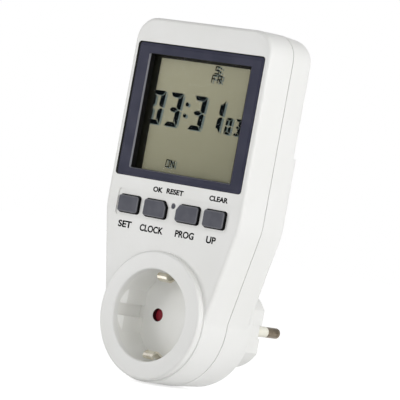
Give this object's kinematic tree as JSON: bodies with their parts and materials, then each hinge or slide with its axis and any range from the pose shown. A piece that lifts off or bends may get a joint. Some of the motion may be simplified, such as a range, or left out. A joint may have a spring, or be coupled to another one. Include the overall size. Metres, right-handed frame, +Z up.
{
  "type": "plug-in timer switch",
  "caption": "Plug-in digital timer switch: socket with side earth clips in a round collar, large display with keys above it, and an earthed pin plug at the back.",
  "frame": {"origin": "centre of the plug's face, midway between its two pins", "axes": "+Z up along the case, +Y out along the plug pins into the wall socket, +X to the right as the display is read"},
  "size_m": [0.076, 0.078, 0.1553],
  "materials": {
    "white_case": "fine satin moulded ABS, white",
    "navy_frame": "dark blue-grey moulded plastic, half gloss",
    "clear_lens": "clear acrylic",
    "lcd_glass": "olive-grey reflective liquid crystal cell",
    "white_foil": "white reflector foil",
    "natural_plastic": "natural moulded plastic",
    "black_rubber": "matt silicone rubber",
    "grey_keys": "dark grey moulded plastic, satin",
    "black_plastic": "black moulded plastic",
    "tinned_steel": "zinc-plated steel",
    "nickel": "nickel-plated spring steel",
    "pin_nickel": "nickel-plated brass, satin",
    "brass_contact": "stamped brass strip",
    "green_board": "green solder mask on glass-fibre board",
    "brown_board": "phenolic paper board",
    "copper_wire": "enamelled copper winding",
    "soft_iron": "galvanised soft iron",
    "yellow_film": "yellow film-capacitor case",
    "dark_sleeve": "dark shrink sleeve on an aluminium can",
    "blue_coating": "blue lacquer coating",
    "ceramic_white": "ceramic tube",
    "socket_white": "white moulded socket insert, a little greyer",
    "red_shutter": "dark red moulded plastic",
    "spring_steel": "spring wire",
    "carrier_grey": "light grey heat-resistant plastic",
    "sleeve_cream": "cream moulded sleeve"
  },
  "bodies": {
    "case": {"front_cover": "white_case", "rear_cover": "white_case", "display_bezel": "navy_frame", "display_lens": "clear_lens", "lcd_panel": "lcd_glass", "lcd_reflector": "white_foil", "lcd_frame": "natural_plastic", "zebra_strip": "black_rubber", "key_switches": "tinned_steel", "logic_board": "green_board", "logic_chip": "black_plastic", "clock_crystal": "nickel", "backup_battery": "nickel", "battery_tabs": "nickel", "board_link": "brass_contact", "power_board": "brown_board", "relay_case": "black_plastic", "relay_base": "black_plastic", "relay_bobbin": "natural_plastic", "relay_winding": "copper_wire", "relay_yoke": "soft_iron", "relay_contact": "brass_contact", "dropper_capacitor": "yellow_film", "smoothing_capacitor": "dark_sleeve", "surge_varistor": "blue_coating", "mains_fuse": "ceramic_white", "rectifier_diodes": "black_plastic", "bleed_resistors": "blue_coating", "socket_insert": "socket_white", "shutter_spring": "spring_steel", "contact_carrier": "carrier_grey", "live_clip": "brass_contact", "neutral_clip": "brass_contact", "front_earth_bracket": "nickel", "rear_earth_bracket": "nickel", "earth_rivet": "nickel", "live_busbar": "brass_contact", "neutral_busbar": "brass_contact", "switched_busbar": "brass_contact", "live_pin": "pin_nickel", "neutral_pin": "pin_nickel", "pin_sleeves": "sleeve_cream", "case_screws": "tinned_steel", "logic_board_screws": "tinned_steel", "power_board_screws": "tinned_steel", "carrier_screws": "tinned_steel"},
    "set_key": {"set_key": "grey_keys", "set_plunger": "black_plastic"},
    "clock_key": {"clock_key": "grey_keys", "clock_plunger": "black_plastic"},
    "prog_key": {"prog_key": "grey_keys", "prog_plunger": "black_plastic"},
    "up_key": {"up_key": "grey_keys", "up_plunger": "black_plastic"},
    "reset_key": {"reset_key": "grey_keys", "reset_plunger": "black_plastic"},
    "shutter": {"child_shutter": "red_shutter"},
    "relay_armature": {"relay_armature": "soft_iron"}
  },
  "joints": [
    {"name": "set_key_press", "type": "slide", "parent": "case", "child": "set_key", "axis": [0, 1, 0], "range_m": [0, 0.0006], "stiffness_N_per_m": 700, "springref_m": -0.0006},
    {"name": "clock_key_press", "type": "slide", "parent": "case", "child": "clock_key", "axis": [0, 1, 0], "range_m": [0, 0.0006], "stiffness_N_per_m": 700, "springref_m": -0.0006},
    {"name": "prog_key_press", "type": "slide", "parent": "case", "child": "prog_key", "axis": [0, 1, 0], "range_m": [0, 0.0006], "stiffness_N_per_m": 700, "springref_m": -0.0006},
    {"name": "up_key_press", "type": "slide", "parent": "case", "child": "up_key", "axis": [0, 1, 0], "range_m": [0, 0.0006], "stiffness_N_per_m": 700, "springref_m": -0.0006},
    {"name": "reset_key_press", "type": "slide", "parent": "case", "child": "reset_key", "axis": [0, 1, 0], "range_m": [0, 0.0006], "stiffness_N_per_m": 700, "springref_m": -0.0006},
    {"name": "shutter_turn", "type": "hinge", "parent": "case", "child": "shutter", "pos_m": [0, -0.0382, 0], "axis": [0, 1, 0], "range_deg": [0, 43], "stiffness_Nm_per_rad": 0.01, "springref_deg": -17.19, "deforming": ["shutter_spring"]},
    {"name": "armature_pull", "type": "hinge", "parent": "case", "child": "relay_armature", "pos_m": [-0.01775, -0.0302, 0.1033], "axis": [1, 0, 0], "range_deg": [0, 4], "stiffness_Nm_per_rad": 0.02, "springref_deg": -11.46}
  ]
}
